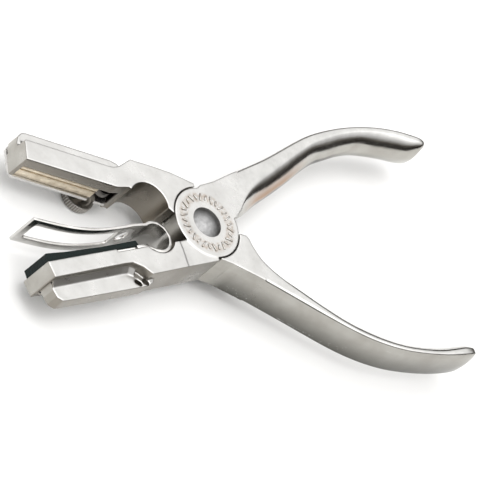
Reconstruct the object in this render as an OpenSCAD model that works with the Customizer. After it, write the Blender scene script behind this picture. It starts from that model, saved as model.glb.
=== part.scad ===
// Ear tattoo pliers with a spring releaser: two forged arms lapped at a rivet,
// a die channel with a swinging keeper plate in one jaw, a rubber pad in the other.
// Origin on the pivot axis in the back face, +Z towards the front face,
// jaws towards -X, handles towards +X, drawn open.

/* [Body] */
// Thickness of both forgings, mm
body_w = 17.5; // [16.5:0.1:18.5]
// Radius of the round boss, mm
boss_r = 16; // [15.8:0.05:16.05]
// Radius of the two throats behind the jaws, mm
throat_r = 9.5; // [9.2:0.1:9.6]

/* [Pivot] */
// Radius of the rivet shank, mm
rivet_r = 5; // [4:0.1:5.5]
// Radius of the rivet heads, mm
rivet_head_r = 6.9; // [6.4:0.1:8]
// Height of the rivet domes, mm
rivet_dome = 2.2; // [1.5:0.1:2.8]

/* [Dies] */
// Number of blank dies in the channel
die_count = 6; // [5:1:6]
// Length of one die along the channel, mm
die_len = 6.38; // [6:0.02:6.38]
// Depth of the die channel, mm
channel_depth = 5.2; // [5:0.1:5.3]

/* [Keeper] */
// Thickness of the keeper plate, mm
keeper_t = 1.5; // [1.2:0.1:1.6]
// Radius of the knurled head, mm
thumb_r = 7.4; // [6:0.1:8]
// Teeth round the knurled head
knurl_count = 40; // [24:2:48]

/* [Releaser] */
// Thickness of the spring sheet, mm
sheet_t = 1.2; // [1:0.1:1.3]
// Width of one leg of the frame, mm
leg_w = 3.6; // [3:0.1:4.4]

/* [Hidden] */
$fn = 96;
mid_z = body_w / 2;
layer_gap = 0.1;
boss_gap = 0.4;
run_gap = 0.05;
ridge = 1.18;
steel = [0.80, 0.79, 0.76];
dark_steel = [0.50, 0.49, 0.47];
brass = [0.72, 0.62, 0.45];
rubber = [0.05, 0.10, 0.09];

// Die jaw frame: x runs back along the rim from the front corner, y into the jaw.
jaw_corner = [-87.5, 21.5];
jaw_turn = -11.43;
channel_start = 2.2;
channel_end = 49.2;
channel_near = 12;
plate_back = body_w - 14.7;
plate_front = plate_back + keeper_t;
keeper_pin = [4.2, 7.4];
keeper_reach = 45;
thumb_pin = [42.2, 7.4];
thumb_arm = thumb_pin[0] - keeper_pin[0];
thumb_shank_r = 1.5;

// Anvil jaw frame: x runs back along the seat from the front corner, y up.
seat_corner = [-91.5, -26];
seat_turn = 13.15;
seat_len = 55;
foot_start = 40;
foot_screw_x = 47;
foot_wide = 51.5;
foot_end = 54.4;
foot_inset = 1.6;

upper_throat = [-28, 6.5];
lower_throat = [-29, -7];
curl_centre = [-29, -9.1];
curl_r = 7.3;

web_low = 5.4;
web_high = 12.4;
rib_slots = [[-41.4, -28.8], [-37.4, -28.2]];

module in_die_jaw() {
  translate([jaw_corner[0], jaw_corner[1], 0]) rotate([0, 0, jaw_turn]) children();
}

module in_anvil_jaw() {
  translate([seat_corner[0], seat_corner[1], 0]) rotate([0, 0, seat_turn]) children();
}

module slab(low, high) {
  translate([0, 0, low]) linear_extrude(high - low) children();
}

// One cross-section of a handle between its palm edge and its finger edge:
// flat faces, a slightly crowned palm side and a deep finger side that narrows to a soft ridge.
function handle_section(palm, finger, crown, width) =
  let (
    across = finger - palm,
    thick = norm(across),
    way = across / thick,
    edge = min(0.9, thick * 0.3),
    half = width / 2,
    palm_side = [for (k = [0:4]) [-0.6 * (1 - pow(k / 2 - 1, 2)), (half - edge) * (k / 2 - 1)]],
    front_edge = [[edge * 0.3, half - edge * 0.3], [edge, half]],
    finger_side = [
      for (k = [0:12])
        let (c = cos(15 * k), s = abs(sin(15 * k)))
        [thick + crown * pow(s, ridge), half * sign(c) * pow(abs(c), ridge)]
    ],
    back_edge = [[edge, -half], [edge * 0.3, edge * 0.3 - half]],
    ring = concat(palm_side, front_edge, finger_side, back_edge)
  )
  [for (p = ring) [palm[0] + way[0] * p[0], palm[1] + way[1] * p[0], mid_z + p[1]]];

module handle(stations, flip) {
  rings = [for (s = stations) handle_section(s[0], s[1], s[2], s[3])];
  count = len(rings[0]);
  last = len(rings) - 1;
  points = [for (r = rings) for (p = r) p];
  sides = [
    for (i = [0:last - 1]) for (k = [0:count - 1])
      let (n = (k + 1) % count, a = i * count, b = a + count)
      for (half = [0, 1]) half == 0 ? [a + k, b + k, b + n] : [a + k, b + n, a + n]
  ];
  caps = [
    for (k = [1:count - 2]) for (end = [0, 1])
      end == 0 ? [0, k, k + 1] : [last * count, last * count + k + 1, last * count + k]
  ];
  faces = concat(sides, caps);
  turned = [for (f = faces) [f[0], f[2], f[1]]];
  polyhedron(points = points, faces = flip ? turned : faces, convexity = 8);
}

// Each station: palm edge, finger edge, finger-side crown, width.
upper_handle = [
  [[13, 21.4], [20.2, 7], 0.4, 17.5],
  [[22, 25.2], [26, 15.2], 5.5, 17.5],
  [[31, 29], [33.6, 22.2], 7.2, 17.4],
  [[41, 33.3], [43.5, 28.6], 7.7, 17.3],
  [[50.5, 38], [53, 34.3], 7.6, 17.2],
  [[60.5, 43.1], [62.5, 39.8], 7, 17.1],
  [[70, 47.4], [71.4, 44.5], 6.7, 17],
  [[80, 50.5], [80.9, 47.9], 6.7, 17],
  [[90, 52.7], [90.5, 50.5], 6.2, 17],
  [[100, 54], [100.2, 52], 5.8, 17],
  [[110, 54.4], [109.8, 52.4], 6.2, 17],
  [[119.5, 53.8], [119, 51.5], 5.8, 17],
  [[126.5, 52.6], [125.8, 50.1], 5, 17],
  [[130, 51.7], [129.4, 49.5], 4.1, 16.9],
  [[132, 50.9], [131.5, 49], 3, 16.2],
  [[133.1, 50.3], [132.7, 48.9], 1.8, 14.8],
  [[133.7, 49.7], [133.5, 48.9], 0.6, 12]
];

lower_handle = [
  [[8, -18.6], [20.6, -7.4], 0.4, 17.5],
  [[18, -22.7], [24.4, -15.8], 2, 17.5],
  [[28, -27.4], [32, -23.3], 4, 17.4],
  [[38, -32.3], [40.6, -29.1], 5, 17.3],
  [[49, -37.7], [50.4, -35.5], 5.5, 17.2],
  [[60, -42.9], [60.9, -41.5], 5.7, 17.1],
  [[70, -47], [70.5, -45.6], 5.8, 17],
  [[80, -49.9], [80.3, -48.5], 5.3, 17],
  [[90, -51.6], [90.1, -50.2], 4.7, 17],
  [[100, -52.1], [99.9, -50.7], 4.5, 17],
  [[110, -51.9], [109.8, -50.4], 4.7, 17],
  [[118, -51.2], [117.6, -49], 4.3, 17],
  [[123.5, -50.4], [123.1, -47.7], 3.8, 16.8],
  [[126.8, -49.7], [126.6, -47.3], 2.9, 15.8],
  [[128.3, -49.1], [128.1, -47.3], 1.8, 13.8],
  [[129, -48.6], [128.9, -47.6], 0.6, 10.6]
];

// Anvil arm: jaw rail and root, joined to the upper handle's root.
module anvil_outline() {
  difference() {
    polygon([
      [-91.5, -26], [-38, -13.5], [-20.2, -6], [-19.2, -4.9], [-18, -4.4], [-15.9, -4.3],
      [-12, -2], [-6, 8], [0, 15.9], [2, 17.5], [10, 20], [20, 24.4], [24, 26.1],
      [27.2, 16.6], [24, 12.6], [21, 8], [17.2, 3.9], [12, 1.6], [0, -12], [1.5, -17.5],
      [-8, -19.9], [-19, -22.6], [-37, -27.2], [-41, -24.2], [-46, -22.6], [-50, -23.3],
      [-90, -33.2]
    ]);
    translate(lower_throat) circle(throat_r);
  }
}

// Set-back rib under the anvil rail.
module anvil_rib_outline() {
  difference() {
    polygon([
      [-89, -30], [-88.4, -36], [-87.2, -39.6], [-84.6, -41], [-82.5, -40.7],
      [-47, -32.4], [-37, -30], [-33.5, -28.2], [-31, -24], [-48, -20]
    ]);
    for (spot = rib_slots) translate(spot) rotate([0, 0, -30]) {
      square([1.8, 2], center = true);
      for (end = [-0.9, 0.9]) translate([end, 0]) circle(1);
    }
  }
}

module foot_screw_hole() {
  in_anvil_jaw() translate([foot_screw_x, 1, mid_z]) rotate([90, 0, 0]) cylinder(h = 8, r = 1.52);
}

module anvil_arm() {
  color(steel) union() {
    difference() {
      slab(0, body_w) anvil_outline();
      translate([0, 0, -1]) cylinder(h = mid_z + 1, r = boss_r + boss_gap);
      cylinder(h = body_w + 1, r = rivet_r + run_gap);
      in_anvil_jaw() {
        translate([foot_start - 0.3, -sheet_t - 0.05, -1]) cube([seat_len, 6, body_w + 2]);
      }
      foot_screw_hole();
    }
    difference() {
      slab(web_low, web_high) anvil_rib_outline();
      foot_screw_hole();
    }
    difference() {
      translate([0, 0, mid_z + layer_gap / 2]) cylinder(h = mid_z - layer_gap / 2, r = boss_r);
      cylinder(h = body_w + 1, r = rivet_r + run_gap);
    }
    handle(upper_handle, false);
  }
}

// Die arm: jaw block and root, joined to the lower handle's root.
module die_outline() {
  difference() {
    union() {
      polygon([
        [-87.5, 21.5], [-85.7, 30.4], [-84.9, 30.8], [-45, 22.3], [-42, 22], [-39, 22.6],
        [-36, 24.2], [-32, 26.4], [-20, 24], [-12, 22], [-1.2, 18], [-1.5, 12], [-12, 1],
        [-16.6, 3.2], [-18.5, 5], [-30, 8], [-36.5, 13], [-43, 12.5]
      ]);
      polygon([
        [0, -12], [2.5, -17], [8, -18.6], [20, -23.6], [23, -25], [26.4, -18.4],
        [23, -14], [21.5, -10], [20.5, -6], [19.5, -4.5], [17, -3.9], [15, -3.9], [8, 0]
      ]);
    }
    translate(upper_throat) circle(throat_r);
  }
}

// Set-back rib along the top of the die jaw.
module die_rib_outline() {
  polygon([
    [-86.1, 28], [-85.4, 32.4], [-84, 35.2], [-81.6, 36.9], [-79.4, 37],
    [-38, 28.2], [-34.6, 26.6], [-33, 22], [-44, 20], [-80, 27]
  ]);
}

module channel() {
  in_die_jaw() translate([channel_start, -3, plate_front - 0.2])
    cube([channel_end - channel_start, channel_depth + 3, channel_near - plate_front + 0.2]);
}

module die_arm() {
  color(steel) union() {
    difference() {
      slab(0, body_w) die_outline();
      translate([0, 0, mid_z]) cylinder(h = mid_z + 1, r = boss_r + boss_gap);
      translate([0, 0, -1]) cylinder(h = body_w + 2, r = rivet_r + run_gap);
      in_die_jaw() {
        translate([keeper_pin[0], keeper_pin[1], -1])
          cylinder(h = plate_front + 1, r = keeper_reach + boss_gap);
        translate([keeper_pin[0], keeper_pin[1], 0]) cylinder(h = 13, r = 1.3);
        translate([thumb_pin[0], thumb_pin[1], 0]) cylinder(h = 12.4, r = thumb_shank_r);
      }
      channel();
    }
    difference() {
      slab(web_low, web_high) die_rib_outline();
      channel();
      in_die_jaw() {
        translate([keeper_pin[0], keeper_pin[1], 0]) cylinder(h = 13, r = 1.3);
        translate([thumb_pin[0], thumb_pin[1], 0]) cylinder(h = 12.4, r = thumb_shank_r);
      }
    }
    difference() {
      cylinder(h = mid_z - layer_gap / 2, r = boss_r);
      translate([0, 0, -1]) cylinder(h = body_w, r = rivet_r + run_gap);
    }
    handle(lower_handle, true);
  }
}

// Rivet with a shallow dome at each end.
module dome(r, h) {
  ball = (r * r + h * h) / (2 * h);
  intersection() {
    translate([0, 0, h - ball]) sphere(ball);
    cylinder(h = h + 1, r = r);
  }
}

module pivot_rivet() {
  color(dark_steel) {
    translate([0, 0, -0.1]) cylinder(h = body_w + 0.1, r = rivet_r);
    translate([0, 0, body_w]) dome(rivet_head_r, rivet_dome);
    translate([0, 0, -0.1]) mirror([0, 0, 1]) dome(rivet_head_r, rivet_dome);
  }
}

module anvil_pad() {
  color(rubber) in_anvil_jaw() difference() {
    translate([0, 0, 1.1]) linear_extrude(body_w - 2.2)
      polygon([[1.2, 0.02], [53.8, 0.02], [53.2, 2.7], [33, 2.6], [12.6, 3.2], [1.9, 4]]);
    translate([foot_screw_x, -1, mid_z]) rotate([-90, 0, 0]) cylinder(h = 8, r = 3);
  }
}

// Releaser: one bent spring sheet. The frame swings about the curl's centre.
frame_top = [
  [-92.5, -5.7], [-80, -7.5], [-70, -8.2], [-60, -7.8], [-50, -6.3], [-40, -4]
];

module releaser_frame() {
  end_top = curl_centre + (curl_r) * [cos(131), sin(131)];
  end_low = curl_centre + (curl_r - sheet_t) * [cos(131), sin(131)];
  low = [for (k = [len(frame_top) - 1:-1:0]) frame_top[k] - [0.1 * k / 5, sheet_t]];
  color(steel) difference() {
    translate([0, 0, 0.25]) linear_extrude(body_w - 0.5)
      polygon(concat(frame_top, [end_top, end_low], low));
    translate([-89.6, -20, 0.25 + leg_w]) cube([44.4, 30, body_w - 0.5 - 2 * leg_w]);
    translate([-40.6, -12, mid_z]) rotate([-90, 0, 0]) cylinder(h = 14, r = 3.25);
  }
}

module releaser_curl() {
  color(steel) {
    translate([curl_centre[0], curl_centre[1], 0.25])
      rotate([0, 0, -122]) rotate_extrude(angle = 250)
        translate([curl_r - sheet_t, 0]) square([sheet_t, body_w - 0.5]);
    in_anvil_jaw() difference() {
      translate([foot_start, -sheet_t, foot_inset])
        cube([foot_wide + 0.1 - foot_start, sheet_t, body_w - 2 * foot_inset]);
      translate([foot_wide, -sheet_t, 0.25]) cube([foot_end - foot_wide, sheet_t, body_w - 0.5]);
      translate([foot_screw_x, -3, mid_z]) rotate([-90, 0, 0]) cylinder(h = 8, r = 1.6);
    }
    translate([0, 0, 0.25]) linear_extrude(body_w - 0.5) polygon([
      [-32.87, -15.29], [-32.23, -14.27], [-33.8, -13.5], [-35.2, -12.9],
      [-38.9, -13.7], [-38.64, -14.86], [-35.43, -14.12], [-34.3, -14.55]
    ]);
  }
}

module releaser_screw() {
  color(dark_steel) in_anvil_jaw() difference() {
    union() {
      translate([foot_screw_x, 0, mid_z]) rotate([-90, 0, 0]) cylinder(h = 1.5, r = 2.7);
      translate([foot_screw_x, 0.1, mid_z]) rotate([90, 0, 0]) cylinder(h = 6.6, r = 1.48);
    }
    translate([foot_screw_x - 0.4, 0.8, mid_z - 4]) cube([0.8, 2, 8]);
  }
}

// Keeper plate: swings on its pin, hooked over the thumbscrew's shank.
module keeper_outline() {
  difference() {
    intersection() {
      polygon([
        [0.3, 2.2], [2.2, 0], [60, 0], [60, 9.1], [8, 9.3], [6.6, 12.6], [5.2, 13.9],
        [1.4, 13.9], [0.3, 12.4]
      ]);
      translate(keeper_pin) circle(keeper_reach);
    }
    translate(keeper_pin) circle(1.5);
    translate(thumb_pin) circle(1.75);
    intersection() {
      difference() {
        translate(keeper_pin) circle(thumb_arm + 1.75);
        translate(keeper_pin) circle(thumb_arm - 1.75);
      }
      translate([30, -10]) square([20, 10 + thumb_pin[1]]);
    }
  }
}

module keeper_plate() {
  color(steel) in_die_jaw() slab(plate_back, plate_front - 0.02) keeper_outline();
}

module keeper_pivot_screw() {
  color(steel) in_die_jaw() translate([keeper_pin[0], keeper_pin[1], 0]) {
    difference() {
      translate([0, 0, plate_back - 0.05]) mirror([0, 0, 1]) dome(3.6, 1.9);
      translate([-0.4, -5, plate_back - 3]) cube([0.8, 10, 1.8]);
    }
    translate([0, 0, plate_back - 0.06]) cylinder(h = 10, r = 1.28);
  }
}

module thumbscrew() {
  tooth = 360 / knurl_count;
  neck = 6;
  head = 3.6;
  color(steel) in_die_jaw() translate([thumb_pin[0], thumb_pin[1], plate_back - 0.05]) {
    translate([0, 0, -0.01]) cylinder(h = 9.4, r = thumb_shank_r - 0.02);
    translate([0, 0, -neck]) cylinder(h = neck, r = 3.3);
    translate([0, 0, -neck - head]) difference() {
      linear_extrude(head) polygon([
        for (k = [0:2 * knurl_count - 1])
          (k % 2 == 0 ? thumb_r : thumb_r - 0.45) * [cos(k * tooth / 2), sin(k * tooth / 2)]
      ]);
      translate([0, 0, head - 0.7]) difference() {
        cylinder(h = 2, r = thumb_r - 1.4);
        translate([0, 0, -1]) cylinder(h = 4, r = 3.3);
      }
      translate([0, 0, -1]) cylinder(h = 1.6, r = thumb_r - 1.6);
    }
  }
}

// One blank die: a block with a lengthwise groove and a rebated front edge.
module die_blank(index) {
  low_z = plate_front + 0.15;
  top_y = channel_depth - 0.05;
  color(brass) in_die_jaw()
    translate([channel_start + 0.06 + index * (die_len + 0.04), 0, 0]) difference() {
      translate([0, 0.9, low_z]) cube([die_len, top_y - 0.9, channel_near - 0.1 - low_z]);
      translate([-1, 0, 8.4]) cube([die_len + 2, 1.8, 0.9]);
      translate([-1, 0, 10.9]) cube([die_len + 2, 2.3, 5]);
    }
}

// U-shaped flat spring that fills the back of the channel.
module die_spring() {
  start = channel_start + 0.06 + die_count * (die_len + 0.04);
  r = (channel_end - start) / 2 - 0.02;
  color(dark_steel) in_die_jaw() translate([start + r, channel_depth - 0.05, 6.6])
    difference() {
      cylinder(h = 3, r = r);
      translate([0, 0, -1]) cylinder(h = 5, r = r - 0.4);
      translate([-r - 1, 0, -1]) cube([2 * r + 2, 2 * r, 5]);
    }
}

anvil_arm();
die_arm();
pivot_rivet();
anvil_pad();
releaser_frame();
releaser_curl();
releaser_screw();
keeper_plate();
keeper_pivot_screw();
thumbscrew();
die_blank(0);  // die_blank_1
die_blank(1);  // die_blank_2
die_blank(2);  // die_blank_3
die_blank(3);  // die_blank_4
die_blank(4);  // die_blank_5
die_blank(5);  // die_blank_6
die_spring();
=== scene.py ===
import math
import bmesh
import bpy
from mathutils import Matrix, Vector, noise


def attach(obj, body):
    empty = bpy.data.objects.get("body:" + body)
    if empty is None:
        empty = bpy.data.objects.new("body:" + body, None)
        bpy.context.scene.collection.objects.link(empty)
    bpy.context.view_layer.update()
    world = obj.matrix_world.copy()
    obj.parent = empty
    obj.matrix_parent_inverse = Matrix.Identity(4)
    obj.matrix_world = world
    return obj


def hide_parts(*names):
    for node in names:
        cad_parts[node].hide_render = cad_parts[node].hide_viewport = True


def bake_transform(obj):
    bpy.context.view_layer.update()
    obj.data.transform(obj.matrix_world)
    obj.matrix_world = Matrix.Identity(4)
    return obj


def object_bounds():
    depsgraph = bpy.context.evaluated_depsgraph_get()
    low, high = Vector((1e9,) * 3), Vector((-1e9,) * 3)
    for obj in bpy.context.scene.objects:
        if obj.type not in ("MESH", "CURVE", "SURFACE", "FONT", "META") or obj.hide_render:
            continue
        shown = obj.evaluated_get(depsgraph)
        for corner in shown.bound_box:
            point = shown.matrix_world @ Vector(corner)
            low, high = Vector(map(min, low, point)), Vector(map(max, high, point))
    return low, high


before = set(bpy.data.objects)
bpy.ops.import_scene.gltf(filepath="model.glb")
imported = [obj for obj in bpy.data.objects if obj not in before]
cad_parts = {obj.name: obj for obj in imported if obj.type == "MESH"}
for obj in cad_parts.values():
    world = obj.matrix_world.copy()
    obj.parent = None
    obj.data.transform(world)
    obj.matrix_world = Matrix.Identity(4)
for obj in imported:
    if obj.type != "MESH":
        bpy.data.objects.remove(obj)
cad_low, cad_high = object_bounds()

# Lengths are in mm and repeat the CAD's driving sizes; MM turns them into metres.
MM = 0.001
BODY_W = 17.5
MID_Z = BODY_W / 2
BOSS_R = 16.0
BOSS_GAP = 0.4
# Grid of the remesh that melts a forging into one skin, in metres.
VOXEL = 0.26 * MM

# Each jaw has a frame of its own: a corner, and the turn of its X axis.
JAW_CORNER = (-87.5, 21.5)
JAW_TURN = math.radians(-11.43)
SEAT_CORNER = (-91.5, -26.0)
SEAT_TURN = math.radians(13.15)
KEEPER_PIN = (4.2, 7.4)
KEEPER_REACH = 45.0
THUMB_PIN = (42.2, 7.4)
PLATE_BACK = 2.8
PLATE_FRONT = 4.3
CHANNEL = (2.2, 49.2)
CHANNEL_DEPTH = 5.2
CHANNEL_NEAR = 12.0
DIE_PITCH = 6.42
DIE_COUNT = 6
FOOT_SCREW_X = 47.0
UPPER_THROAT = (-28.0, 6.5)
LOWER_THROAT = (-29.0, -7.0)
THROAT_R = 9.5
CURL_CENTRE = (-29.0, -9.1)
CURL_R = 7.3
SHEET_T = 1.2
SHEET_INSET = 0.25
FOOT_INSET = 1.6
LEG_W = 3.6
# Exponent of a handle's finger side: 1 is round, and more draws it out to a ridge.
RIDGE = 1.18
RIB = (5.4, 12.4)
# Centre to middle, number and half width of the raised strokes on the boss.
STROKE_R = 11.7
STROKE_COUNT = 28
STROKE_HALF_W = 0.36

# ---------------------------------------------------------------- stage


def make_camera():
    """Looks at the tool from the jaw side, from below and in front, with a long lens."""
    right = Vector((0.76966, -0.25055, 0.58723))
    up = Vector((-0.07756, 0.87627, 0.47553))
    back = right.cross(up).normalized()
    lens = 1600
    distance = 5.4146 * lens * MM
    target = Vector((0, 0, BODY_W * MM)) + right * 13.32 * MM - up * 7.23 * MM
    data = bpy.data.cameras.new("camera")
    data.lens = lens
    data.clip_start = 0.05
    data.clip_end = 200
    camera = bpy.data.objects.new("camera", data)
    bpy.context.collection.objects.link(camera)
    turn = Matrix((right, up, back)).transposed()
    camera.matrix_world = Matrix.Translation(target + back * distance) @ turn.to_4x4()
    bpy.context.scene.camera = camera


def make_floor():
    bpy.ops.mesh.primitive_plane_add(size=6, location=(0, 0, cad_low.z - 0.0002))
    floor = bpy.context.object
    floor.name = "floor"
    material = bpy.data.materials.new("floor_paper")
    material.use_nodes = True
    shader = material.node_tree.nodes["Principled BSDF"]
    shader.inputs["Base Color"].default_value = (0.90, 0.90, 0.895, 1)
    shader.inputs["Roughness"].default_value = 0.9
    shader.inputs["Specular IOR Level"].default_value = 0.1
    floor.data.materials.append(material)


def make_world():
    """A studio dome that is bright above and dark and slightly warm below the horizon."""
    world = bpy.data.worlds.new("studio")
    bpy.context.scene.world = world
    world.use_nodes = True
    nodes, links = world.node_tree.nodes, world.node_tree.links
    background = nodes["Background"]
    place = nodes.new("ShaderNodeTexCoord")
    split = nodes.new("ShaderNodeSeparateXYZ")
    ramp = nodes.new("ShaderNodeValToRGB")
    ramp.color_ramp.interpolation = "EASE"
    stops = [
        (0.0, 0.04), (0.22, 0.04), (0.38, 0.18), (0.52, 0.72),
        (0.66, 1.05), (0.82, 1.8), (1.0, 3.3),
    ]
    elements = ramp.color_ramp.elements
    while len(elements) < len(stops):
        elements.new(0.5)
    for element, (at, value) in zip(elements, stops):
        element.position = at
        warm = 0.82 if value < 0.5 else 0.99
        element.color = (value, value * (1 + warm) / 2, value * warm, 1)
    links.new(place.outputs["Generated"], split.inputs[0])
    links.new(split.outputs["Z"], ramp.inputs["Fac"])
    links.new(ramp.outputs["Color"], background.inputs["Color"])
    background.inputs["Strength"].default_value = 1.0


def make_lamp(name, place, aim, size, power):
    data = bpy.data.lights.new(name, "AREA")
    data.shape = "RECTANGLE"
    data.size, data.size_y = size
    data.energy = power
    lamp = bpy.data.objects.new(name, data)
    lamp.location = place
    lamp.rotation_euler = (Vector(aim) - Vector(place)).to_track_quat("-Z", "Y").to_euler()
    bpy.context.collection.objects.link(lamp)


# ---------------------------------------------------------------- materials


class Nodes:
    """Short names for building one material's node tree."""

    def __init__(self, name):
        self.material = bpy.data.materials.new(name)
        self.material.use_nodes = True
        self.tree = self.material.node_tree
        self.shader = self.tree.nodes["Principled BSDF"]
        self.place = self.tree.nodes.new("ShaderNodeTexCoord").outputs["Object"]

    def add(self, kind, **inputs):
        node = self.tree.nodes.new(kind)
        for key, value in inputs.items():
            self.put(node, key.replace("_", " "), value)
        return node

    def put(self, node, key, value):
        if isinstance(value, bpy.types.NodeSocket):
            self.tree.links.new(value, node.inputs[key])
        else:
            node.inputs[key].default_value = value

    def noise(self, scale, detail=4.0, rough=0.55, place=None):
        node = self.add("ShaderNodeTexNoise", Scale=scale, Detail=detail, Roughness=rough)
        self.tree.links.new(place or self.place, node.inputs["Vector"])
        return node.outputs["Fac"]

    def span(self, value, low, high, to_low=0.0, to_high=1.0):
        node = self.tree.nodes.new("ShaderNodeMapRange")
        for index, number in enumerate((value, low, high, to_low, to_high)):
            self.put(node, index, number)
        return node.outputs[0]

    def mix(self, factor, a, b):
        node = self.tree.nodes.new("ShaderNodeMix")
        node.data_type = "RGBA"
        for index, value in ((0, factor), (6, a), (7, b)):
            if isinstance(value, tuple):
                value = (*value, 1)
            self.put(node, index, value)
        return node.outputs[2]

    def bump(self, height, strength, distance, before=None):
        node = self.add("ShaderNodeBump", Height=height, Strength=strength, Distance=distance)
        if before is not None:
            self.tree.links.new(before, node.inputs["Normal"])
        return node.outputs["Normal"]

    def math(self, operation, a, b=0.0):
        node = self.tree.nodes.new("ShaderNodeMath")
        node.operation = operation
        self.put(node, 0, a)
        self.put(node, 1, b)
        return node.outputs[0]

    def length(self, x, y):
        squares = self.math("ADD", self.math("MULTIPLY", x, x), self.math("MULTIPLY", y, y))
        return self.math("SQRT", squares)

    def axis(self, letter):
        node = self.add("ShaderNodeSeparateXYZ")
        self.tree.links.new(self.place, node.inputs[0])
        return node.outputs[letter]

    def edges(self):
        return self.tree.nodes.new("ShaderNodeNewGeometry").outputs["Pointiness"]


def plated(name, bright, dull, rough, grain=1.0, edge_wear_and_highlight=0.0):
    """Nickel plate over steel: faint clouding, fine grain and brighter edges, partly worn and partly a
    painted highlight.
    """
    m = Nodes(name)
    clouds = m.noise(90, 5, 0.6)
    fine = m.noise(2600, 3, 0.6)
    specks = m.noise(700, 4, 0.7)
    colour = m.mix(m.span(clouds, 0.35, 0.68), bright, dull)
    stain = m.span(specks, 0.62, 0.78, 0.0, 0.35)
    colour = m.mix(stain, colour, tuple(c * 0.72 for c in dull))
    # Brighter edges: partly worn, partly a painted highlight along them.
    if edge_wear_and_highlight:
        colour = m.mix(m.span(m.edges(), 0.52, 0.62, 0.0, edge_wear_and_highlight), colour, (0.74, 0.73, 0.72))
    m.put(m.shader, "Base Color", colour)
    m.put(m.shader, "Metallic", 1.0)
    m.put(m.shader, "Roughness", m.span(clouds, 0.3, 0.7, rough[0], rough[1]))
    waves = m.bump(m.noise(160, 3, 0.5), 0.25 * grain, 0.0004)
    m.put(m.shader, "Normal", m.bump(fine, 0.12 * grain, 0.0001, waves))
    return m.material


def handle_painted_light(m, sides, facing):
    """Painted reflections as brown and black streaks on the upper handle's root, painted shade on the
    lower one's palm side.

    Also paints shade on the undersides of the jaws. facing is the skin's own Y direction.
    """
    x, y, z = (m.axis(letter) for letter in "XYZ")
    wander = m.span(m.noise(120, 2, 0.5), 0.3, 0.7, -0.0005, 0.0005)
    height = m.math("ADD", z, wander)
    under = m.span(facing, -0.38, -0.20, 1.0, 0.0)
    upper = m.math("MULTIPLY", under, m.span(m.math("MINIMUM", x, y), 0.010, 0.016))
    # Painted shade: the downward-facing undersides of the jaws darken.
    jaws = m.math("MULTIPLY", under, m.span(x, -0.012, -0.002, 0.9, 0.0))
    sides = m.mix(jaws, sides, (0.25, 0.23, 0.20))
    # Painted reflections: brown and black streaks on the upper handle's finger side, each a height band,
    # an X range it fades over and a colour.
    reflection_streaks = [
        ((0.0108, 0.0160), (0.054, 0.070), (0.30, 0.17, 0.09)),
        ((0.0060, 0.0106), (0.078, 0.097), (0.03, 0.028, 0.025)),
        ((0.0018, 0.0050), (0.055, 0.078), (0.05, 0.043, 0.036)),
    ]
    for (low, high), (near, far), colour in reflection_streaks:
        soft = 0.0006
        band = m.math("MULTIPLY", m.span(height, low - soft, low + soft),
                      m.span(height, high - soft, high + soft, 1.0, 0.0))
        band = m.math("MULTIPLY", band, m.span(x, near, far, 1.0, 0.0))
        sides = m.mix(m.math("MULTIPLY", band, upper), sides, colour)
    # Painted shade: the lower handle's palm side darkens towards its far edge.
    lower = m.math("MULTIPLY", under, m.span(y, -0.020, -0.016, 1.0, 0.0))
    shade = m.math("MULTIPLY", lower, m.span(z, 0.0005, 0.0135, 0.92, 0.12))
    shade = m.math("MULTIPLY", shade, m.span(x, 0.004, 0.012))
    return m.mix(shade, sides, (0.075, 0.075, 0.066))


def channel_shade(m, sides):
    """Painted shade on the walls inside the die channel."""
    x = m.math("SUBTRACT", m.axis("X"), JAW_CORNER[0] * MM)
    y = m.math("SUBTRACT", m.axis("Y"), JAW_CORNER[1] * MM)
    c, s = math.cos(JAW_TURN), math.sin(JAW_TURN)
    along = m.math("ADD", m.math("MULTIPLY", x, c), m.math("MULTIPLY", y, s))
    depth = m.math("SUBTRACT", m.math("MULTIPLY", y, c), m.math("MULTIPLY", x, s))
    behind = m.span(along, 0.0494, 0.0500, 1.0, 0.0)
    inside = m.math("MULTIPLY", m.span(along, 0.0018, 0.0022), behind)
    inside = m.math("MULTIPLY", inside, m.span(depth, 0.0004, 0.0012))
    inside = m.math("MULTIPLY", inside, m.span(depth, 0.0053, 0.0056, 1.0, 0.0))
    z = m.axis("Z")
    inside = m.math("MULTIPLY", inside, m.span(z, 0.0038, 0.0042))
    inside = m.math("MULTIPLY", inside, m.span(z, 0.0122, 0.0126, 1.0, 0.0))
    return m.mix(inside, sides, (0.05, 0.045, 0.04))


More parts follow.
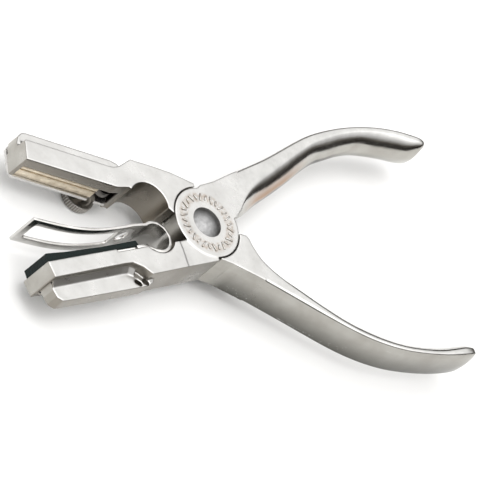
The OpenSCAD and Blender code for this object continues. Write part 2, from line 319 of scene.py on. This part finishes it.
def forging_material(name):
    """Satin near the jaws, polished along the handles, with painted shade that makes the sides darker
    than the faces.
    """
    m = Nodes(name)
    clouds = m.noise(85, 5, 0.6)
    fine = m.noise(2400, 3, 0.6)
    specks = m.noise(620, 4, 0.7)
    polish = m.span(m.axis("X"), 0.018, 0.034)
    tilt = m.add("ShaderNodeSeparateXYZ")
    m.tree.links.new(m.tree.nodes.new("ShaderNodeTexCoord").outputs["Normal"], tilt.inputs[0])
    # Painted shade: face picks the bright colour where the normal points along Z; the sides get a darker
    # copy of it.
    face = m.span(m.math("ABSOLUTE", tilt.outputs["Z"]), 0.45, 0.85)
    sides = m.mix(m.span(clouds, 0.35, 0.68), (0.44, 0.43, 0.40), (0.36, 0.345, 0.315))
    # Painted shade: darker brown inside the two throat hollows.
    for centre in (UPPER_THROAT, LOWER_THROAT):
        x = m.math("SUBTRACT", m.axis("X"), centre[0] * MM)
        y = m.math("SUBTRACT", m.axis("Y"), centre[1] * MM)
        radius = m.length(x, y)
        sides = m.mix(m.span(radius, 0.0098, 0.0106, 1.0, 0.0), sides, (0.21, 0.185, 0.15))
    sides = handle_painted_light(m, sides, tilt.outputs["Y"])
    sides = channel_shade(m, sides)
    faces = m.mix(m.span(clouds, 0.35, 0.68), (0.62, 0.615, 0.60), (0.53, 0.525, 0.51))
    # Painted shade: a brown ring round the raised strokes on the boss, broken up by noise.
    radius = m.length(m.axis("X"), m.axis("Y"))
    outside = m.span(radius, 0.0132, 0.0144, 1.0, 0.0)
    ring = m.math("MULTIPLY", m.span(radius, 0.0090, 0.0102), outside)
    stroke_shade = m.math("MULTIPLY", ring, m.span(specks, 0.40, 0.62, 0.0, 0.75))
    faces = m.mix(stroke_shade, faces, (0.40, 0.33, 0.27))
    colour = m.mix(face, sides, faces)
    stain = m.math("MULTIPLY", m.span(specks, 0.60, 0.76, 0.0, 0.35), m.math("SUBTRACT", 1.0, polish))
    colour = m.mix(stain, colour, (0.32, 0.305, 0.28))
    # Brighter edges: partly worn, partly a painted highlight along them.
    colour = m.mix(m.span(m.edges(), 0.57, 0.70, 0.0, 0.4), colour, (0.74, 0.735, 0.72))
    m.put(m.shader, "Base Color", colour)
    m.put(m.shader, "Metallic", 1.0)
    satin = m.span(clouds, 0.3, 0.7, 0.24, 0.38)
    shiny = m.span(clouds, 0.3, 0.7, 0.13, 0.20)
    rough = m.math("ADD", m.math("MULTIPLY", satin, m.math("SUBTRACT", 1.0, polish)),
                   m.math("MULTIPLY", shiny, polish))
    m.put(m.shader, "Roughness", rough)
    waves = m.bump(m.noise(140, 3, 0.5), 0.22, 0.0004)
    m.put(m.shader, "Normal", m.bump(fine, 0.10, 0.0001, waves))
    return m.material


def rubber_material(name):
    """Dark green-black rubber with a pebbled skin."""
    m = Nodes(name)
    cells = m.add("ShaderNodeTexVoronoi", Scale=1700.0)
    m.tree.links.new(m.place, cells.inputs["Vector"])
    speck = m.span(m.noise(1500, 4, 0.7), 0.50, 0.72)
    colour = m.mix(speck, (0.0015, 0.006, 0.0055), (0.008, 0.022, 0.020))
    m.put(m.shader, "Base Color", colour)
    m.put(m.shader, "Roughness", m.span(speck, 0, 1, 0.55, 0.8))
    m.put(m.shader, "Specular IOR Level", 0.22)
    m.put(m.shader, "Normal", m.bump(cells.outputs["Distance"], 0.7, 0.00025))
    return m.material


def die_material(name):
    """Brassy metal with cloudy staining."""
    m = Nodes(name)
    clouds = m.noise(260, 5, 0.65)
    lines = m.noise(1800, 3, 0.5)
    colour = m.mix(m.span(clouds, 0.3, 0.7), (0.86, 0.77, 0.62), (0.66, 0.56, 0.42))
    m.put(m.shader, "Base Color", colour)
    m.put(m.shader, "Metallic", 0.75)
    m.put(m.shader, "Roughness", m.span(clouds, 0.3, 0.7, 0.34, 0.5))
    m.put(m.shader, "Normal", m.bump(lines, 0.25, 0.0001))
    return m.material


def turned_material(name, base):
    """Grey steel with fine rings from turning, about the pivot axis."""
    m = Nodes(name)
    radius = m.length(m.axis("X"), m.axis("Y"))
    rings = m.math("SINE", m.math("MULTIPLY", radius, 15000.0))
    clouds = m.noise(420, 5, 0.65)
    colour = m.mix(m.span(clouds, 0.3, 0.72), base, tuple(c * 0.62 for c in base))
    m.put(m.shader, "Base Color", colour)
    m.put(m.shader, "Metallic", 1.0)
    m.put(m.shader, "Roughness", m.span(clouds, 0.3, 0.7, 0.26, 0.42))
    m.put(m.shader, "Normal", m.bump(rings, 0.10, 0.00004, m.bump(clouds, 0.35, 0.0002)))
    return m.material


# ---------------------------------------------------------------- shapes


def in_jaw(point):
    """A point of the die jaw's frame, in the tool's frame."""
    return turned(point, JAW_TURN, JAW_CORNER)


def in_seat(point):
    """A point of the anvil jaw's frame, in the tool's frame."""
    return turned(point, SEAT_TURN, SEAT_CORNER)


def turned(point, angle, corner):
    c, s = math.cos(angle), math.sin(angle)
    return (corner[0] + c * point[0] - s * point[1], corner[1] + s * point[0] + c * point[1])


def arc(centre, radius, start, end, count):
    """Points on an arc, angles in degrees, both ends included."""
    steps = [math.radians(start + (end - start) * k / count) for k in range(count + 1)]
    return [(centre[0] + radius * math.cos(a), centre[1] + radius * math.sin(a)) for a in steps]


def add_rings(bm, rings):
    """A closed skin over a stack of equal rings, with both ends capped."""
    rows = [[bm.verts.new(Vector(p) * MM) for p in ring] for ring in rings]
    for a, b in zip(rows, rows[1:]):
        for k in range(len(a)):
            n = (k + 1) % len(a)
            bm.faces.new((a[k], a[n], b[n], b[k]))
    bm.faces.new(rows[0][::-1])
    bm.faces.new(rows[-1])


def add_prism(bm, outline, low, high):
    """A flat outline drawn out along Z from low to high."""
    area = sum(a[0] * b[1] - b[0] * a[1] for a, b in zip(outline, outline[1:] + outline[:1]))
    ring = outline if area > 0 else outline[::-1]
    add_rings(bm, [[(x, y, low) for x, y in ring], [(x, y, high) for x, y in ring]])


def prism_of(outline, low, high):
    """A build function for new_object or cut that adds one prism."""
    return lambda bm: add_prism(bm, outline, low, high)


def add_tube(bm, start, end, radius, count=64):
    """A solid cylinder from start to end."""
    start, end = Vector(start), Vector(end)
    turn = (end - start).to_track_quat("Z", "Y")
    flat = arc((0, 0), radius, 0, 360 - 360 / count, count - 1)
    side = [turn @ Vector((x, y, 0)) for x, y in flat]
    add_rings(bm, [[start + p for p in side], [end + p for p in side]])


def new_object(name, build):
    """An object whose mesh is filled by build(bm)."""
    bm = bmesh.new()
    build(bm)
    bmesh.ops.recalc_face_normals(bm, faces=bm.faces)
    mesh = bpy.data.meshes.new(name)
    bm.to_mesh(mesh)
    bm.free()
    obj = bpy.data.objects.new(name, mesh)
    bpy.context.collection.objects.link(obj)
    return obj


def keep_result(obj):
    """The mesh with its modifiers applied."""
    bpy.context.view_layer.update()
    graph = bpy.context.evaluated_depsgraph_get()
    mesh = bpy.data.meshes.new_from_object(obj.evaluated_get(graph))
    obj.modifiers.clear()
    old, obj.data = obj.data, mesh
    mesh.name = obj.name
    bpy.data.meshes.remove(old)


def cut(obj, *builders):
    """Takes closed shapes away from obj, one after another."""
    for number, build in enumerate(builders):
        tool = new_object(f"{obj.name}_tool_{number}", build)
        modifier = obj.modifiers.new("cut", "BOOLEAN")
        modifier.operation = "DIFFERENCE"
        modifier.solver = "EXACT"
        modifier.object = tool
        keep_result(obj)
        bpy.data.objects.remove(tool)


def join(obj, *others):
    """Adds the other objects' meshes to obj's and removes them."""
    bm = bmesh.new()
    for part in (obj, *others):
        bm.from_mesh(part.data)
    bm.to_mesh(obj.data)
    bm.free()
    for part in others:
        bpy.data.objects.remove(part)


def forge(obj, voxel=VOXEL, rounds=9):
    """Melts overlapping closed shapes into one skin with softly rounded edges."""
    remesh = obj.modifiers.new("melt", "REMESH")
    remesh.mode = "VOXEL"
    remesh.voxel_size = voxel
    smooth = obj.modifiers.new("soften", "SMOOTH")
    smooth.factor = 0.5
    smooth.iterations = rounds
    keep_result(obj)
    obj.data.shade_smooth()


def soften(obj, width, segments=3, angle=35):
    """Bevels the sharp edges and smooths the rest."""
    bevel = obj.modifiers.new("bevel", "BEVEL")
    bevel.width = width * MM
    bevel.segments = segments
    bevel.limit_method = "ANGLE"
    bevel.angle_limit = math.radians(angle)
    bevel.harden_normals = False
    keep_result(obj)
    obj.data.shade_smooth()
    obj.data.set_sharp_from_angle(angle=math.radians(40))


def finish_piece(obj, material, body, nodes):
    """Gives a piece its material, the body it rides and the CAD nodes it stands for."""
    obj.data.materials.clear()
    obj.data.materials.append(material)
    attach(obj, body)
    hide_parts(*nodes)


# ---------------------------------------------------------------- handles

# Palm edge, finger edge, finger-side crown and width at each station, in mm.
UPPER_HANDLE = [
    ((13, 21.4), (20.2, 7), 0.4, 17.5), ((22, 25.2), (26, 15.2), 5.5, 17.5),
    ((31, 29), (33.6, 22.2), 7.2, 17.4), ((41, 33.3), (43.5, 28.6), 7.7, 17.3),
    ((50.5, 38), (53, 34.3), 7.6, 17.2), ((60.5, 43.1), (62.5, 39.8), 7, 17.1),
    ((70, 47.4), (71.4, 44.5), 6.7, 17), ((80, 50.5), (80.9, 47.9), 6.7, 17),
    ((90, 52.7), (90.5, 50.5), 6.2, 17), ((100, 54), (100.2, 52), 5.8, 17),
    ((110, 54.4), (109.8, 52.4), 6.2, 17), ((119.5, 53.8), (119, 51.5), 5.8, 17),
    ((126.5, 52.6), (125.8, 50.1), 5, 17), ((130, 51.7), (129.4, 49.5), 4.1, 16.9),
    ((132, 50.9), (131.5, 49), 3, 16.2), ((133.1, 50.3), (132.7, 48.9), 1.8, 14.8),
    ((133.7, 49.7), (133.5, 48.9), 0.6, 12),
]
LOWER_HANDLE = [
    ((8, -18.6), (20.6, -7.4), 0.4, 17.5), ((18, -22.7), (24.4, -15.8), 2, 17.5),
    ((28, -27.4), (32, -23.3), 4, 17.4), ((38, -32.3), (40.6, -29.1), 5, 17.3),
    ((49, -37.7), (50.4, -35.5), 5.5, 17.2), ((60, -42.9), (60.9, -41.5), 5.7, 17.1),
    ((70, -47), (70.5, -45.6), 5.8, 17), ((80, -49.9), (80.3, -48.5), 5.3, 17),
    ((90, -51.6), (90.1, -50.2), 4.7, 17), ((100, -52.1), (99.9, -50.7), 4.5, 17),
    ((110, -51.9), (109.8, -50.4), 4.7, 17), ((118, -51.2), (117.6, -49), 4.3, 17),
    ((123.5, -50.4), (123.1, -47.7), 3.8, 16.8), ((126.8, -49.7), (126.6, -47.3), 2.9, 15.8),
    ((128.3, -49.1), (128.1, -47.3), 1.8, 13.8), ((129, -48.6), (128.9, -47.6), 0.6, 10.6),
]


def curve_through(rows, steps):
    """Points on smooth curves through equal rows of numbers."""
    out = []
    for i in range(len(rows) - 1):
        a, b = rows[max(i - 1, 0)], rows[i]
        c, d = rows[i + 1], rows[min(i + 2, len(rows) - 1)]
        for k in range(steps):
            t = k / steps
            out.append([
                0.5 * (2 * q + (r - p) * t + (2 * p - 5 * q + 4 * r - s) * t * t
                       + (3 * q - p - 3 * r + s) * t ** 3)
                for p, q, r, s in zip(a, b, c, d)
            ])
    out.append(list(rows[-1]))
    return out


def handle_ring(row):
    """One cross-section: a nearly flat palm side and a finger side that narrows to a ridge."""
    palm, finger = Vector(row[0:2]), Vector(row[2:4])
    crown, half = row[4], row[5] / 2
    thick = (finger - palm).length
    way = (finger - palm) / thick
    edge = min(0.9, thick * 0.3)
    palm_side = [(-0.6 * (1 - (k / 4 - 1) ** 2), (half - edge) * (k / 4 - 1)) for k in range(9)]
    front = [(edge * 0.3, half - edge * 0.3), (edge, half)]
    fingers = []
    for k in range(25):
        angle = math.radians(7.5 * k)
        c, s = math.cos(angle), abs(math.sin(angle))
        fingers.append((thick + crown * s ** RIDGE, half * math.copysign(abs(c) ** RIDGE, c)))
    back = [(edge, -half), (edge * 0.3, edge * 0.3 - half)]
    ring = palm_side + front + fingers + back
    return [(palm.x + way.x * t, palm.y + way.y * t, MID_Z + z) for t, z in ring]


def add_handle(bm, stations):
    rows = [(*palm, *finger, crown, width) for palm, finger, crown, width in stations]
    add_rings(bm, [handle_ring(row) for row in curve_through(rows, 5)])


# ---------------------------------------------------------------- forgings


def boss_clearance(low, high):
    return lambda bm: add_tube(bm, (0, 0, low), (0, 0, high), BOSS_R + BOSS_GAP, 160)


def add_boss(bm, low, high):
    add_tube(bm, (0, 0, low), (0, 0, high), BOSS_R, 160)


# The flat between the boss and the jaw rail, sunk a little below the near face.
BOSS_FLAT = [
    (-18.6, -5), (-17.2, -14), (-16.6, -24), (4, -20), (4, -16.1),
    *arc((0, 0), BOSS_R - 0.2, 270, 196, 24),
]
RIB_SLOTS = [(-41.4, -28.8), (-37.4, -28.2)]


def rib_slot(spot):
    """A short rounded slot through the lower rib."""
    flat = arc((0.9, 0), 1, -90, 90, 10) + arc((-0.9, 0), 1, 90, 270, 10)
    return [turned(p, math.radians(-30), spot) for p in flat]


def add_coves(bm, path, side, radius=2.6):
    """Hollow fillets where a rib leaves the rail, along path, on both faces of the rib."""
    for face, lift in ((RIB[1], 1), (RIB[0], -1)):
        rings = []
        for k, p in enumerate(path):
            before, after = Vector(path[max(k - 1, 0)]), Vector(path[min(k + 1, len(path) - 1)])
            way = (after - before).normalized()
            out = Vector((-way.y, way.x)) * side * (1 if way.x > 0 else -1)
            curve = [(radius * (1 - math.sin(a)), radius * (1 - math.cos(a)))
                     for a in (math.radians(9 * step) for step in range(11))]
            section = curve + [(-0.6, -0.5), (-0.6, radius + 0.3)]
            section[10] = (-0.02, radius)
            rings.append([(p[0] + out.x * n, p[1] + out.y * n, face + lift * h)
                          for n, h in section])
        add_rings(bm, rings)


def make_boss_relief(material):
    """A ring of plain raised strokes round the rivet."""
    def build(bm):
        for k in range(STROKE_COUNT):
            a = math.radians(360 * k / STROKE_COUNT)
            reach = 1.75 if k % 2 else 1.2
            lean = 0.35 if k % 4 < 2 else -0.35
            along = Vector((math.cos(a + lean), math.sin(a + lean)))
            across = Vector((-along.y, along.x)) * STROKE_HALF_W
            middle = Vector((math.cos(a), math.sin(a))) * STROKE_R
            box = [middle + along * reach + across, middle + along * reach - across,
                   middle - along * reach - across, middle - along * reach + across]
            add_prism(bm, [tuple(p) for p in box][::-1], BODY_W - 0.2, BODY_W + 0.42)

    obj = new_object("boss_relief", build)
    soften(obj, 0.17, 3, 35)
    finish_piece(obj, material, "anvil_side", ["anvil_arm"])


def make_anvil_forging(material):
    outline = [
        (-91.5, -26), (-38, -13.5), (-20.2, -6), (-19.2, -4.9), (-18, -4.4), (-15.9, -4.3),
        (-12, -2), (-6, 8), (0, 15.9), (2, 17.5), (10, 20), (20, 24.4), (24, 26.1),
        (27.2, 16.6), (24, 12.6), (21, 8), (17.2, 3.9), (12, 1.6), (0, -12), (1.5, -17.5),
        (-8, -19.9), (-19, -22.6), (-37, -27.2), (-41, -24.2), (-46, -22.6), (-50, -23.3),
        (-90, -33.2),
    ]
    rib = [
        (-89, -30), (-88.4, -36), (-87.2, -39.6), (-84.6, -41), (-82.5, -40.7),
        (-47, -32.4), (-37, -30), (-33.5, -28.2), (-31, -24), (-48, -20),
    ]
    obj = new_object("anvil_forging", lambda bm: add_prism(bm, outline, 0, BODY_W))
    seat = [in_seat(p) for p in ((39.7, -1.25), (95, -1.25), (95, 5), (39.7, 5))]
    cut(
        obj,
        boss_clearance(-1, MID_Z),
        lambda bm: add_tube(bm, (*LOWER_THROAT, -1), (*LOWER_THROAT, 19), THROAT_R, 128),
        prism_of(seat, -1, 19),
    )
    cut(obj, prism_of(BOSS_FLAT, 17.33, 19), prism_of(BOSS_FLAT, -1, 0.17))
    hollow = new_object("anvil_rib", lambda bm: add_prism(bm, rib, *RIB))
    cut(hollow, *[prism_of(rib_slot(spot), 0, 19) for spot in RIB_SLOTS])
    rest = new_object("anvil_rest", lambda bm: (
        add_boss(bm, MID_Z + 0.05, BODY_W), add_handle(bm, UPPER_HANDLE),
        add_coves(bm, [(-89, -32.9), (-70, -28.2), (-50, -23.3), (-46, -22.7), (-42.5, -23.6)], -1)))
    join(obj, hollow, rest)
    forge(obj)
    finish_piece(obj, material, "anvil_side", ["anvil_arm"])


def make_die_forging(material):
    jaw = [
        (-87.5, 21.5), (-85.7, 30.4), (-84.9, 30.8), (-45, 22.3), (-42, 22), (-39, 22.6),
        (-36, 24.2), (-32, 26.4), (-20, 24), (-12, 22), (-1.2, 18), (-1.5, 12), (-12, 1),
        (-16.6, 3.2), (-18.5, 5), (-30, 8), (-36.5, 13), (-43, 12.5),
    ]
    root = [
        (0, -12), (2.5, -17), (8, -18.6), (20, -23.6), (23, -25), (26.4, -18.4),
        (23, -14), (21.5, -10), (20.5, -6), (19.5, -4.5), (17, -3.9), (15, -3.9), (8, 0),
    ]
    rib = [
        (-86.1, 28), (-85.4, 32.4), (-84, 35.2), (-81.6, 36.9), (-79.4, 37),
        (-38, 28.2), (-34.6, 26.6), (-33, 22), (-44, 20), (-80, 27),
    ]
    start, end = CHANNEL
    corners = ((start, -3), (end, -3), (end, CHANNEL_DEPTH), (start, CHANNEL_DEPTH))
    slot = [in_jaw(p) for p in corners]
    pin = in_jaw(KEEPER_PIN)
    channel = prism_of(slot, PLATE_FRONT - 0.2, CHANNEL_NEAR)
    obj = new_object("die_forging", lambda bm: add_prism(bm, jaw, 0, BODY_W))
    lower = new_object("die_root", lambda bm: add_prism(bm, root, 0, BODY_W))
    cut(lower, boss_clearance(MID_Z, 19))
    cut(
        obj,
        boss_clearance(MID_Z, 19),
        lambda bm: add_tube(bm, (*UPPER_THROAT, -1), (*UPPER_THROAT, 19), THROAT_R, 128),
        lambda bm: add_tube(bm, (*pin, -1), (*pin, PLATE_FRONT), KEEPER_REACH + BOSS_GAP, 256),
        channel,
    )
    ridge = new_object("die_rib", lambda bm: add_prism(bm, rib, *RIB))
    cut(ridge, channel)
    rest = new_object("die_rest", lambda bm: (
        add_boss(bm, 0, MID_Z - 0.05), add_handle(bm, LOWER_HANDLE),
        add_coves(bm, [(-84, 30.6), (-60, 25.5), (-45, 22.3), (-42, 22), (-39, 22.6)], 1, 2.2)))
    join(obj, lower, ridge, rest)
    forge(obj)
    finish_piece(obj, material, "die_side", ["die_arm"])


# ---------------------------------------------------------------- small pieces


def lathe(bm, centre, profile, count=96, knurls=0, depth=0.45):
    """Turns (radius, z, knurled) rows about a Z axis; the first and last rows are capped."""
    rings = []
    for radius, z, knurled in profile:
        ring = []
        for k in range(count):
            a = 2 * math.pi * k / count
            r = radius - (depth * (0.5 - 0.5 * math.cos(knurls * a)) if knurled else 0)
            ring.append((centre[0] + r * math.cos(a), centre[1] + r * math.sin(a), z))
        rings.append(ring)
    add_rings(bm, rings)


def dome_profile(radius, base, height, steps=10):
    """Rows of a shallow dome that rises from base, ending in a small flat."""
    ball = (radius ** 2 + height ** 2) / (2 * abs(height))
    lift = math.copysign(1, height)
    edge = math.asin(min(1, radius / ball))
    rows = []
    for k in range(steps + 1):
        a = edge * (1 - k / steps * 0.985)
        rise = ball * math.cos(a) - (ball - abs(height))
        rows.append((ball * math.sin(a), base + lift * rise, False))
    return rows


def make_rivet(material):
    head = 6.9
    low = dome_profile(head, -0.1, -2.2)[::-1]
    high = dome_profile(head, BODY_W, 2.2)
    profile = low + [(5.0, 0.0, False), (5.0, BODY_W - 0.05, False)] + high
    obj = new_object("rivet", lambda bm: lathe(bm, (0, 0), profile, 128))
    obj.data.shade_smooth()
    obj.data.set_sharp_from_angle(angle=math.radians(50))
    finish_piece(obj, material, "anvil_side", ["pivot_rivet"])


def press_in(obj, scale, depth):
    """Sinks the skin by a little noise, up to depth in mm."""
    spots = [(v.co.copy(), v.normal.copy()) for v in obj.data.vertices]
    for vertex, (place, normal) in zip(obj.data.vertices, spots):
        vertex.co = place - normal * (abs(noise.noise(place * scale)) * depth * MM)


def make_pad(material):
    top = [(1.2, 0.05), (53.8, 0.05), (53.2, 2.7), (33, 2.6), (12.6, 3.2), (1.9, 4)]
    outline = [in_seat(p) for p in top]
    obj = new_object("pad", lambda bm: add_prism(bm, outline, 1.1, BODY_W - 1.1))
    low, high = in_seat((FOOT_SCREW_X, -1)), in_seat((FOOT_SCREW_X, 7))
    cut(obj, lambda bm: add_tube(bm, (*low, MID_Z), (*high, MID_Z), 3.0))
    forge(obj, 0.25 * MM, 4)
    press_in(obj, 900, 0.05)
    finish_piece(obj, material, "anvil_side", ["anvil_pad"])


def make_releaser(material):
    """The whole bent sheet, frame, curl and foot, as one mesh; its bend is in the curl."""
    top = [(-92.5, -5.7), (-80, -7.5), (-70, -8.2), (-60, -7.8), (-50, -6.3), (-40, -4)]
    top = [tuple(p) for p in curve_through(top, 6)]
    outer = arc(CURL_CENTRE, CURL_R, 128, -122, 60)
    foot = [in_seat((54.0, 0)), in_seat((40, 0))]
    inner = arc(CURL_CENTRE, CURL_R - SHEET_T, 128, -122, 60)
    foot_low = [in_seat((54.6, -SHEET_T)), in_seat((40, -SHEET_T))]
    under = [(x, y - SHEET_T) for x, y in top]
    above = [(-34.2, -13.9), (-35.4, -13.0)]
    ring_out = top + outer + foot_low
    ring_in = under + inner + above + foot
    ring = ring_out + ring_in[::-1]
    obj = new_object("releaser", prism_of(ring, SHEET_INSET, BODY_W - SHEET_INSET))
    foot_side = [in_seat(p) for p in ((39, -2), (51.5, -2), (51.5, 0.6), (39, 0.6))]
    leg_edge = SHEET_INSET + LEG_W
    window = rounded_box((-89.6, -45.2), (leg_edge, BODY_W - leg_edge), 1.6)
    window_ends = [[(x, y, z) for x, z in window] for y in (-11.5, -1.0)]
    cut(
        obj,
        lambda bm: add_rings(bm, window_ends),
        lambda bm: add_tube(bm, (-40.6, -8.4, MID_Z), (-40.6, 0, MID_Z), 3.25),
        prism_of(foot_side, -1, FOOT_INSET),
        prism_of(foot_side, BODY_W - FOOT_INSET, 19),
    )
    soften(obj, 0.16, 2, 40)
    obj.data.materials.append(material)
    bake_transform(obj)
    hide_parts("releaser_frame", "releaser_curl")


def rounded_box(xs, ys, radius, steps=8):
    """A rectangle between the two xs and the two ys, with round corners."""
    corners = [
        ((xs[1] - radius, ys[1] - radius), 0), ((xs[0] + radius, ys[1] - radius), 90),
        ((xs[0] + radius, ys[0] + radius), 180), ((xs[1] - radius, ys[0] + radius), 270),
    ]
    return [p for centre, start in corners for p in arc(centre, radius, start, start + 90, steps)]


def keeper_outline():
    """The plate with its curved slot, which is open at the rim and hooks on the screw shank."""
    reach, width = KEEPER_REACH, 1.75
    arm = THUMB_PIN[0] - KEEPER_PIN[0]

    def rim_angle(radius):
        return -math.degrees(math.asin(KEEPER_PIN[1] / radius))

    low = rim_angle(reach)
    high = math.degrees(math.asin((9.1 - KEEPER_PIN[1]) / reach))
    inner = arc(KEEPER_PIN, arm - width, rim_angle(arm - width), 0, 12)
    outer = arc(KEEPER_PIN, arm + width, 0, rim_angle(arm + width), 12)
    hook = arc(THUMB_PIN, width, 180, 0, 16)
    end = arc(KEEPER_PIN, reach, low, high, 8)
    front = [(8, 9.3), (6.6, 12.6), (5.2, 13.9), (1.4, 13.9), (0.3, 12.4), (0.3, 2.2), (2.2, 0)]
    return [in_jaw(p) for p in inner + hook + outer + end + front]


def make_keeper(material):
    obj = new_object("keeper", lambda bm: add_prism(bm, keeper_outline(), PLATE_BACK, PLATE_FRONT - 0.02))
    pin = in_jaw(KEEPER_PIN)
    cut(obj, lambda bm: add_tube(bm, (*pin, 0), (*pin, 8), 1.5))
    soften(obj, 0.22, 3, 35)
    finish_piece(obj, material, "keeper", ["keeper_plate"])


def make_keeper_screw(material):
    pin = in_jaw(KEEPER_PIN)
    base = PLATE_BACK - 0.05
    head = dome_profile(3.6, base, -1.9)[::-1]
    profile = head + [(1.28, base - 0.01, False), (1.28, base + 9.9, False)]
    obj = new_object("keeper_screw", lambda bm: lathe(bm, pin, profile))
    slot = [(pin[0] - 0.4, pin[1] - 5), (pin[0] + 0.4, pin[1] - 5),
            (pin[0] + 0.4, pin[1] + 5), (pin[0] - 0.4, pin[1] + 5)]
    cut(obj, lambda bm: add_prism(bm, slot, base - 3, base - 1.15))
    soften(obj, 0.08, 2, 40)
    finish_piece(obj, material, "die_side", ["keeper_pivot_screw"])


def make_thumbscrew(material):
    pin = in_jaw(THUMB_PIN)
    base = PLATE_BACK - 0.05
    neck, head, r = 6.0, 3.6, 7.4
    low = base - neck - head
    top = base - neck
    rows = [
        (0.4, low + 0.6), (r - 1.9, low + 0.6), (r - 1.6, low + 0.3), (r - 1.4, low),
        (r - 0.7, low), (r - 0.3, low + 0.15), (r, low + 0.45, 1), (r, top - 0.45, 1),
        (r - 0.3, top - 0.15), (r - 0.7, top), (r - 1.2, top), (r - 1.6, top - 0.5),
        (r - 2.4, top - 0.7), (3.9, top - 0.7), (3.45, top - 0.55), (3.3, top - 0.2),
        (3.3, base - 0.3), (3.05, base), (1.48, base), (1.48, base + 9.2),
    ]
    profile = [(row[0], row[1], len(row) > 2) for row in rows]
    obj = new_object("thumbscrew_knurled", lambda bm: lathe(bm, pin, profile, 320, 40))
    obj.data.shade_smooth()
    obj.data.set_sharp_from_angle(angle=math.radians(45))
    finish_piece(obj, material, "thumb", ["thumbscrew"])


def make_foot_screw(material):
    low, mid, high = (in_seat((FOOT_SCREW_X, y)) for y in (-6.5, 0.02, 1.48))

    def build(bm):
        add_tube(bm, (*mid, MID_Z), (*high, MID_Z), 2.7)
        add_tube(bm, (*low, MID_Z), (*in_seat((FOOT_SCREW_X, 0.2)), MID_Z), 1.48)

    obj = new_object("foot_screw", build)
    corners = ((-0.4, 0.8), (0.4, 0.8), (0.4, 3), (-0.4, 3))
    slot = [in_seat((FOOT_SCREW_X + x, y)) for x, y in corners]
    cut(obj, lambda bm: add_prism(bm, slot, MID_Z - 4, MID_Z + 4))
    soften(obj, 0.12, 2, 40)
    finish_piece(obj, material, "anvil_side", ["releaser_screw"])


def make_dies(material):
    low, high, top = PLATE_FRONT + 0.15, CHANNEL_NEAR - 0.1, CHANNEL_DEPTH - 0.05
    section = [
        (low, 0.9), (8.4, 0.9), (8.4, 1.8), (9.3, 1.8), (9.3, 0.9), (10.9, 0.9),
        (10.9, 2.3), (high, 2.3), (high, top), (low, top),
    ]
    for index in range(DIE_COUNT):
        start = CHANNEL[0] + 0.06 + index * DIE_PITCH
        ends = [[(*in_jaw((x, y)), z) for z, y in section] for x in (start, start + 6.38)]
        obj = new_object(f"die_{index + 1}", lambda bm: add_rings(bm, ends))
        soften(obj, 0.1, 2, 35)
        finish_piece(obj, material, "die_side", [f"die_blank_{index + 1}"])


def make_die_spring(material):
    start = CHANNEL[0] + 0.06 + DIE_COUNT * DIE_PITCH
    r = (CHANNEL[1] - start) / 2 - 0.02
    centre = (start + r, CHANNEL_DEPTH - 0.05)
    flat = arc(centre, r, 180, 360, 32) + arc(centre, r - 0.4, 360, 180, 32)
    outline = [in_jaw(p) for p in flat]
    obj = new_object("die_spring_leaf", lambda bm: add_prism(bm, outline, 6.6, 9.6))
    soften(obj, 0.08, 2, 35)
    finish_piece(obj, material, "die_side", ["die_spring"])


# ---------------------------------------------------------------- build

make_camera()
make_floor()
make_world()
make_lamp("key", (0.75, 0.45, 0.95), (0, 0, 0), (0.9, 0.7), 0.7)
make_lamp("front", (-0.9, 0.1, 0.25), (-0.05, 0, 0), (0.3, 0.4), 1.2)

forged = forging_material("nickel_forged")
# Bright colour, dull colour, roughness range, grain and edge brightening, partly worn edges and partly
# painted highlight.
plate = plated("nickel_plate", (0.58, 0.57, 0.555), (0.47, 0.46, 0.445), (0.2, 0.32), 0.8, 0.4)
sheet = plated("spring_sheet", (0.58, 0.57, 0.55), (0.46, 0.45, 0.43), (0.16, 0.26), 0.5, 0.3)
# A darker copy of the nickel plate for the thumbscrew under the jaw: painted shade.
dark = plated("nickel_shaded", (0.30, 0.28, 0.25), (0.20, 0.185, 0.165), (0.26, 0.38), 0.8, 0.6)
black = plated("spring_black", (0.12, 0.11, 0.10), (0.07, 0.065, 0.06), (0.25, 0.4), 0.8, 0.3)
grey = turned_material("rivet_grey", (0.29, 0.29, 0.29))

make_anvil_forging(forged)
make_boss_relief(forged)
make_die_forging(forged)
make_rivet(grey)
make_pad(rubber_material("pad_rubber"))
make_releaser(sheet)
make_keeper(plate)
make_keeper_screw(plate)
make_thumbscrew(dark)
make_foot_screw(grey)
make_dies(die_material("die_metal"))
make_die_spring(black)

bpy.context.scene.view_settings.view_transform = "Standard"
